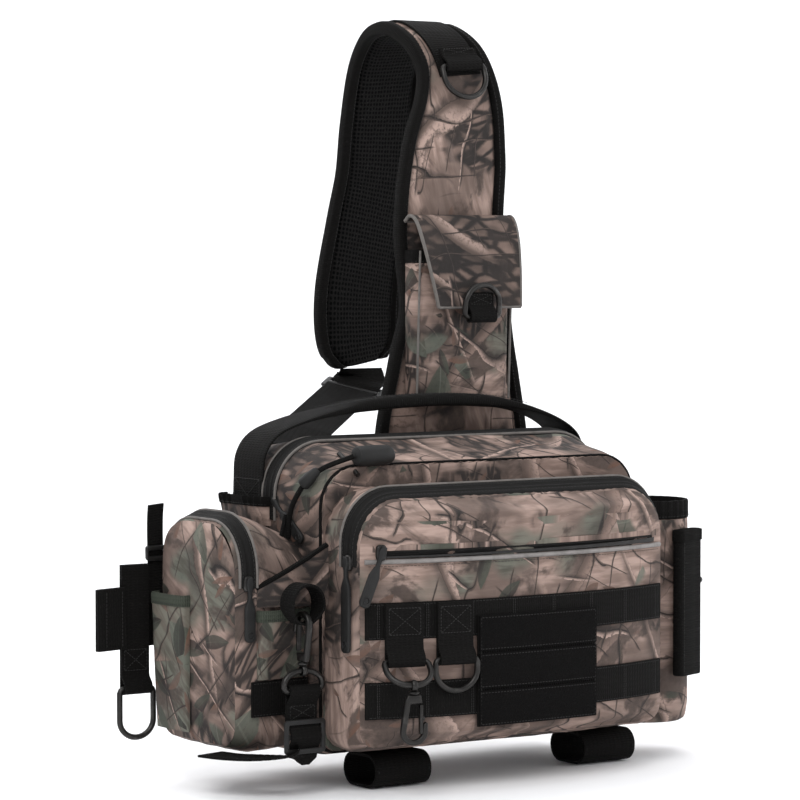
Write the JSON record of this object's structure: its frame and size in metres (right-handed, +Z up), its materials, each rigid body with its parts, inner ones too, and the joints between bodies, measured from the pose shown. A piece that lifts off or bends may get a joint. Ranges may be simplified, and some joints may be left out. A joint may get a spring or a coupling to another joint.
{
  "type": "fishing_tackle_sling_bag",
  "caption": "Camouflage fishing tackle sling bag with padded shoulder strap, zipped pockets, side pouch, bottle pocket, webbing rows, D rings and snap hooks",
  "frame": {"origin": "underside of the shoulder strap's arch, where it lies on a shoulder or a peg", "axes": "+X to the bottle pocket, +Y to the wearer's back, +Z up; the front pocket faces -Y"},
  "size_m": [0.4982, 0.3585, 0.6016],
  "materials": {
    "camo_cloth": "printed woven polyester, matt",
    "leaf_cloth": "printed woven polyester with ribbed binding",
    "black_webbing": "woven webbing, matt",
    "spacer_mesh": "knitted air mesh",
    "zip_tape": "coated zip tape with nylon coil",
    "reflective_tape": "grey reflective piping",
    "moulded_plastic": "moulded acetal",
    "soft_rubber": "matt moulded rubber",
    "dark_metal": "gunmetal plated steel"
  },
  "bodies": {
    "bag": {"main_body": "camo_cloth", "front_pocket": "camo_cloth", "side_pouch": "camo_cloth", "pouch_wing": "camo_cloth", "side_elastic_pocket": "camo_cloth", "bottle_pocket": "camo_cloth", "strap_outer": "camo_cloth", "phone_pocket": "camo_cloth", "phone_flap": "camo_cloth", "pouch_front_slip": "leaf_cloth", "pouch_side_slip": "leaf_cloth", "webbing_row_lower": "black_webbing", "webbing_row_upper": "black_webbing", "patch_panel": "black_webbing", "tab_left": "black_webbing", "tab_right": "black_webbing", "pouch_band": "black_webbing", "side_tab": "black_webbing", "side_loop": "black_webbing", "side_webbing": "black_webbing", "waist_strap": "black_webbing", "hanger_webbing": "black_webbing", "keeper_strap": "black_webbing", "bottle_band": "black_webbing", "tool_sheath": "black_webbing", "belt_loop_left": "black_webbing", "belt_loop_right": "black_webbing", "carry_handle": "black_webbing", "strap_binding_left": "black_webbing", "strap_binding_right": "black_webbing", "rear_webbing": "black_webbing", "top_webbing": "black_webbing", "top_tab": "black_webbing", "flap_tab": "black_webbing", "strap_mesh": "spacer_mesh", "main_zip": "zip_tape", "front_zip": "zip_tape", "slit_zip": "zip_tape", "pouch_zip": "zip_tape", "reflective_trim": "reflective_tape", "side_slide": "moulded_plastic", "rear_slide": "moulded_plastic", "sheath_stud": "moulded_plastic", "main_zip_puller": "soft_rubber", "front_zip_puller": "soft_rubber", "slit_puller": "soft_rubber", "pouch_zip_puller": "soft_rubber", "bungee_cord": "soft_rubber", "cord_toggle": "soft_rubber", "side_ring": "dark_metal", "side_swivel": "dark_metal", "side_hook": "dark_metal"},
    "left_ring": {"tab_ring_left": "dark_metal"},
    "swivel": {"front_swivel": "dark_metal"},
    "hook": {"front_hook": "dark_metal"},
    "gate": {"front_hook_gate": "dark_metal"},
    "right_ring": {"tab_ring_right": "dark_metal"},
    "crown_ring": {"top_ring": "dark_metal"},
    "cover_ring": {"flap_ring": "dark_metal"},
    "hanging_ring": {"hanger_ring": "dark_metal"}
  },
  "joints": [
    {"name": "left_ring_hinge", "type": "hinge", "parent": "bag", "child": "left_ring", "pos_m": [-0.1853, -0.25572, -0.48681], "axis": [-0.9695, 0.2452, 0], "range_deg": [0, 75]},
    {"name": "hook_swing", "type": "hinge", "parent": "left_ring", "child": "swivel", "pos_m": [-0.18961, -0.27273, -0.50317], "axis": [-0.9695, 0.2452, 0], "range_deg": [-10, 70]},
    {"name": "hook_swivel", "type": "hinge", "parent": "swivel", "child": "hook", "pos_m": [-0.18961, -0.27273, -0.51007], "axis": [0, 0, 1], "continuous": true},
    {"name": "gate_hinge", "type": "hinge", "parent": "hook", "child": "gate", "pos_m": [-0.1841, -0.27413, -0.51872], "axis": [0.2452, 0.9695, 0], "range_deg": [0, 12], "stiffness_Nm_per_rad": 0.02},
    {"name": "right_ring_hinge", "type": "hinge", "parent": "bag", "child": "right_ring", "pos_m": [-0.1438, -0.26387, -0.48681], "axis": [-0.9898, 0.1425, 0], "range_deg": [0, 100]},
    {"name": "crown_ring_hinge", "type": "hinge", "parent": "bag", "child": "crown_ring", "pos_m": [0.00505, -0.06625, -0.02708], "axis": [-0.9982, -0.0163, -0.0585], "range_deg": [0, 100]},
    {"name": "cover_ring_hinge", "type": "hinge", "parent": "bag", "child": "cover_ring", "pos_m": [0.0017, -0.09767, -0.23281], "axis": [1, 0, 0], "range_deg": [0, 150]},
    {"name": "hanging_ring_hinge", "type": "hinge", "parent": "bag", "child": "hanging_ring", "pos_m": [-0.3113, -0.07307, -0.51681], "axis": [1, 0, 0], "range_deg": [-8, 90]}
  ]
}
